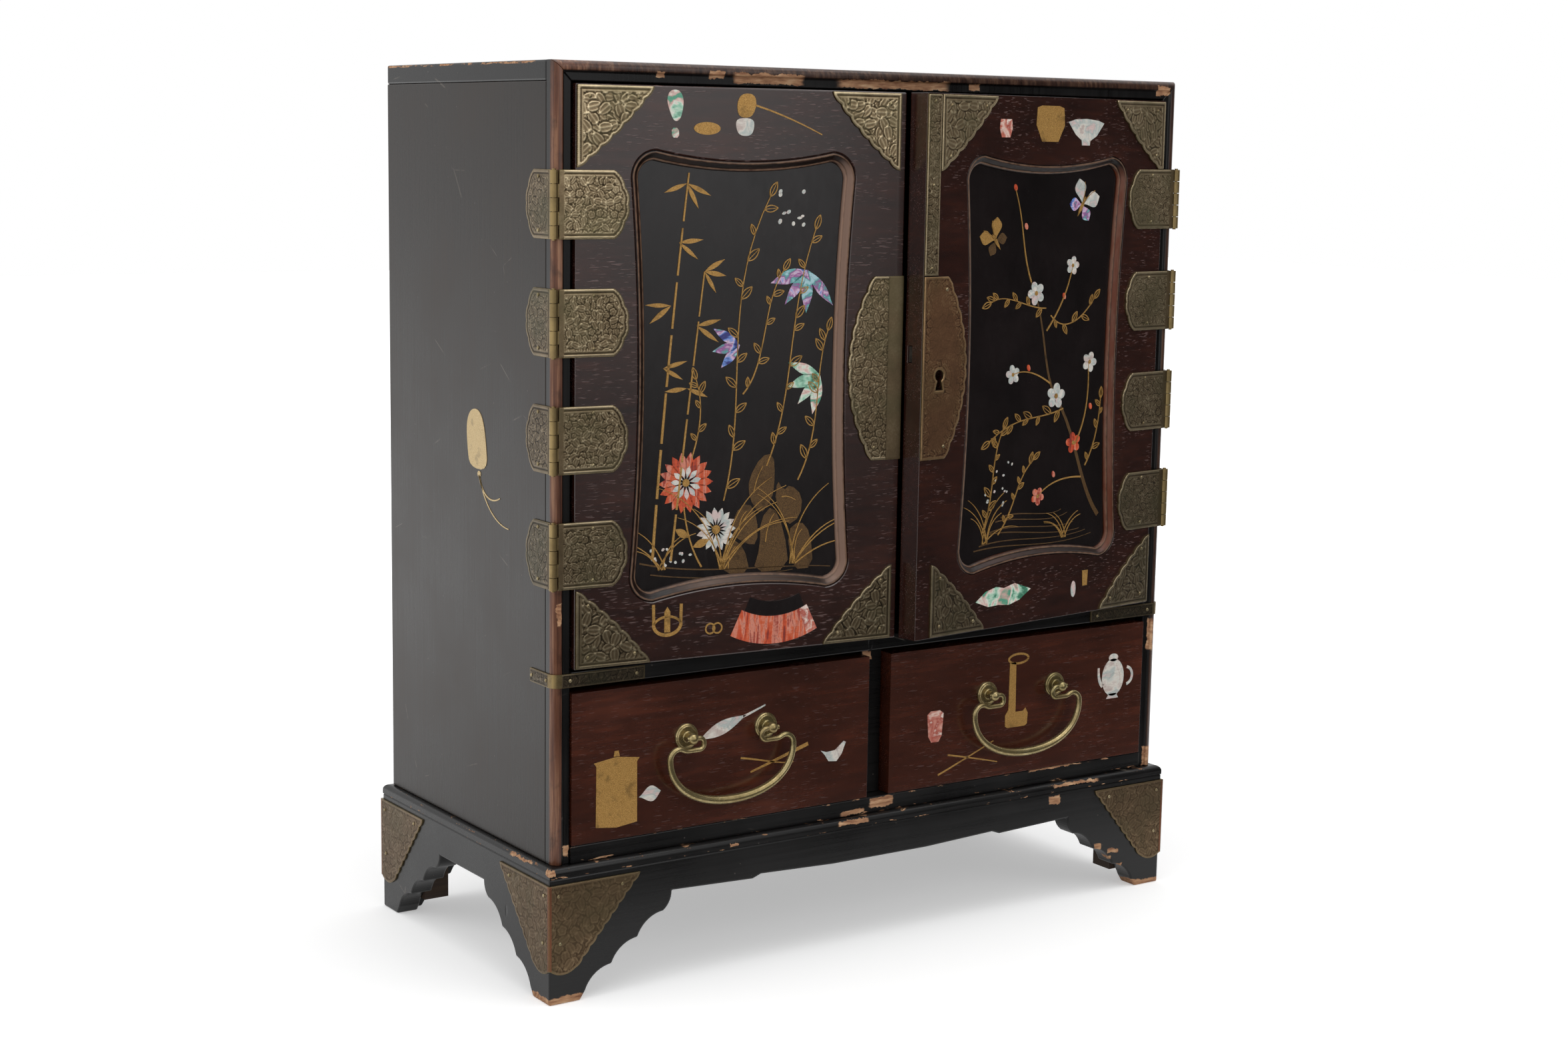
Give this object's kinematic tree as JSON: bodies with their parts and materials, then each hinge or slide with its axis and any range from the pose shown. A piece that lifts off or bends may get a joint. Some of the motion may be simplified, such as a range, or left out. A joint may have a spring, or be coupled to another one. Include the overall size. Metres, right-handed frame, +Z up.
{
  "type": "table cabinet",
  "caption": "Small lacquered table cabinet with hinged doors over drawers, brass mounts and bail handles, on a bracket-footed plinth.",
  "frame": {"origin": "on the floor under the middle of the plinth", "axes": "+Z up, front and doors facing -Y, +X to the right as seen from the front"},
  "size_m": [0.396, 0.2103, 0.45],
  "materials": {
    "black_lacquer": "worn black lacquer, semi-gloss",
    "maroon_lacquer": "dark red-brown lacquered wood with fine flecks",
    "panel_lacquer": "polished black lacquer",
    "moulding_lacquer": "red-brown lacquer, worn on the crests",
    "bare_wood": "plain softwood",
    "mount_brass": "engraved brass, aged to olive bronze",
    "handle_brass": "polished brass, aged",
    "lock_iron": "dark iron"
  },
  "bodies": {
    "cabinet": {"side_panel_left": "black_lacquer", "side_panel_right": "black_lacquer", "top_panel": "black_lacquer", "back_panel": "black_lacquer", "bottom_rail": "black_lacquer", "bottom_panel": "black_lacquer", "mid_rail": "black_lacquer", "dust_board": "black_lacquer", "drawer_divider": "black_lacquer", "cupboard_shelf": "black_lacquer", "shelf_battens": "bare_wood", "front_frame_left": "black_lacquer", "front_frame_right": "black_lacquer", "front_frame_top": "black_lacquer", "corner_straps": "mount_brass", "base_corner_mounts": "mount_brass", "plinth_blocks": "bare_wood", "plinth_ledge": "black_lacquer", "plinth_front": "black_lacquer", "plinth_left": "black_lacquer", "plinth_back": "black_lacquer", "plinth_right": "black_lacquer", "left_hinge_side_leaves": "mount_brass", "right_hinge_side_leaves": "mount_brass", "hinge_pins": "mount_brass"},
    "left_door": {"left_door_hinge_stile": "maroon_lacquer", "left_door_meeting_stile": "maroon_lacquer", "left_door_top_rail": "maroon_lacquer", "left_door_bottom_rail": "maroon_lacquer", "left_door_panel": "panel_lacquer", "left_door_panel_moulding": "moulding_lacquer", "left_door_hinge_leaves": "mount_brass", "left_door_corner_mounts": "mount_brass", "left_door_lock_plate": "mount_brass"},
    "right_door": {"right_door_hinge_stile": "maroon_lacquer", "right_door_meeting_stile": "maroon_lacquer", "right_door_top_rail": "maroon_lacquer", "right_door_bottom_rail": "maroon_lacquer", "right_door_panel": "panel_lacquer", "right_door_panel_moulding": "moulding_lacquer", "right_door_hinge_leaves": "mount_brass", "right_door_corner_mounts": "mount_brass", "right_door_lock_plate": "mount_brass", "right_door_meeting_strip": "mount_brass", "right_door_lock_case": "lock_iron"},
    "lock_bolt": {"right_door_lock_bolt": "lock_iron"},
    "left_drawer": {"left_drawer_front": "maroon_lacquer", "left_drawer_sides": "bare_wood", "left_drawer_back": "bare_wood", "left_drawer_bottom": "bare_wood", "left_handle_posts": "handle_brass"},
    "right_drawer": {"right_drawer_front": "maroon_lacquer", "right_drawer_sides": "bare_wood", "right_drawer_back": "bare_wood", "right_drawer_bottom": "bare_wood", "right_handle_posts": "handle_brass"},
    "left_bail": {"left_bail": "handle_brass"},
    "right_bail": {"right_bail": "handle_brass"}
  },
  "joints": [
    {"name": "left_door_hinge", "type": "hinge", "parent": "cabinet", "child": "left_door", "pos_m": [-0.1936, -0.08985, 0.3015], "axis": [0, 0, -1], "range_deg": [-3.8, 246.2]},
    {"name": "right_door_hinge", "type": "hinge", "parent": "cabinet", "child": "right_door", "pos_m": [0.1936, -0.08985, 0.3015], "axis": [0, 0, 1], "range_deg": [-7.6, 242.4]},
    {"name": "lock_bolt_slide", "type": "slide", "parent": "right_door", "child": "lock_bolt", "axis": [-0.9912, -0.1323, 0], "range_m": [0, 0.005]},
    {"name": "left_drawer_slide", "type": "slide", "parent": "cabinet", "child": "left_drawer", "axis": [0, -1, 0], "range_m": [0, 0.115]},
    {"name": "right_drawer_slide", "type": "slide", "parent": "cabinet", "child": "right_drawer", "axis": [0, -1, 0], "range_m": [0, 0.115]},
    {"name": "left_bail_swing", "type": "hinge", "parent": "left_drawer", "child": "left_bail", "pos_m": [-0.095, -0.09575, 0.1233], "axis": [-1, 0, 0], "range_deg": [-4, 120]},
    {"name": "right_bail_swing", "type": "hinge", "parent": "right_drawer", "child": "right_bail", "pos_m": [0.095, -0.09575, 0.1233], "axis": [-1, 0, 0], "range_deg": [-4, 120]}
  ]
}
